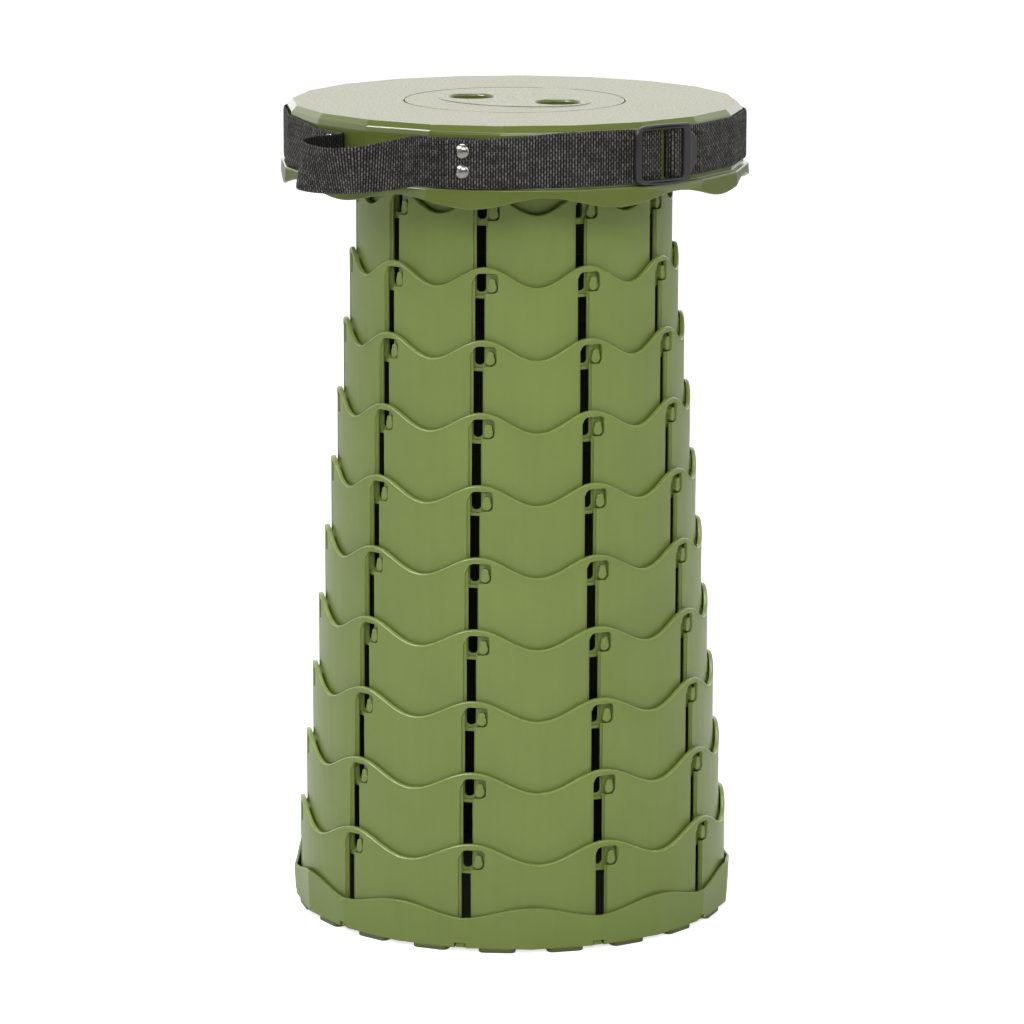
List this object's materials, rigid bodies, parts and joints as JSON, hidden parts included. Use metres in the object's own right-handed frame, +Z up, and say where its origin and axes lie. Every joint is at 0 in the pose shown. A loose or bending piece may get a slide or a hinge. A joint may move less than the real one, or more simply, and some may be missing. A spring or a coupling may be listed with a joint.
{
  "type": "telescopic stool",
  "caption": "Round telescopic camping stool: wavy nested plastic rings stack up from a base cup, with a flat seat and a webbing carry strap.",
  "frame": {"origin": "on the stool's axis, on the flat underside of the base cup's central foot, at floor level", "axes": "+Z up along the column to the seat, -Y to the front with the strap's rivets, +X to the right, the buckle's side"},
  "size_m": [0.2572, 0.2763, 0.4503],
  "materials": {
    "ring_plastic": "olive green moulded plastic, satin",
    "seat_plastic": "olive green moulded plastic, glossy sides, fine-grained top",
    "webbing": "black woven webbing",
    "buckle_plastic": "black moulded plastic, satin",
    "rivet_metal": "bright plated domes"
  },
  "bodies": {
    "base": {"base_cup": "ring_plastic", "ring_10": "ring_plastic"},
    "ring_09": {"ring_09": "ring_plastic"},
    "ring_08": {"ring_08": "ring_plastic"},
    "ring_07": {"ring_07": "ring_plastic"},
    "ring_06": {"ring_06": "ring_plastic"},
    "ring_05": {"ring_05": "ring_plastic"},
    "ring_04": {"ring_04": "ring_plastic"},
    "ring_03": {"ring_03": "ring_plastic"},
    "ring_02": {"ring_02": "ring_plastic"},
    "ring_01": {"ring_01": "ring_plastic"},
    "seat": {"seat_collar": "ring_plastic", "seat_shell": "seat_plastic", "seat_cap": "seat_plastic", "belt_front": "webbing", "belt_back": "webbing", "carry_handle": "webbing", "belt_buckle": "buckle_plastic", "rivet_front_upper": "rivet_metal", "rivet_front_lower": "rivet_metal", "rivet_side_upper": "rivet_metal", "rivet_side_lower": "rivet_metal"}
  },
  "joints": [
    {"name": "ring_09_slide", "type": "slide", "parent": "base", "child": "ring_09", "axis": [0, 0, 1], "range_m": [-0.0388, 0]},
    {"name": "ring_08_slide", "type": "slide", "parent": "ring_09", "child": "ring_08", "axis": [0, 0, 1], "range_m": [-0.0388, 0]},
    {"name": "ring_07_slide", "type": "slide", "parent": "ring_08", "child": "ring_07", "axis": [0, 0, 1], "range_m": [-0.0388, 0]},
    {"name": "ring_06_slide", "type": "slide", "parent": "ring_07", "child": "ring_06", "axis": [0, 0, 1], "range_m": [-0.0388, 0]},
    {"name": "ring_05_slide", "type": "slide", "parent": "ring_06", "child": "ring_05", "axis": [0, 0, 1], "range_m": [-0.0388, 0]},
    {"name": "ring_04_slide", "type": "slide", "parent": "ring_05", "child": "ring_04", "axis": [0, 0, 1], "range_m": [-0.0388, 0]},
    {"name": "ring_03_slide", "type": "slide", "parent": "ring_04", "child": "ring_03", "axis": [0, 0, 1], "range_m": [-0.0388, 0]},
    {"name": "ring_02_slide", "type": "slide", "parent": "ring_03", "child": "ring_02", "axis": [0, 0, 1], "range_m": [-0.0388, 0]},
    {"name": "ring_01_slide", "type": "slide", "parent": "ring_02", "child": "ring_01", "axis": [0, 0, 1], "range_m": [-0.0388, 0]},
    {"name": "seat_slide", "type": "slide", "parent": "ring_01", "child": "seat", "axis": [0, 0, 1], "range_m": [-0.0373, 0]}
  ]
}
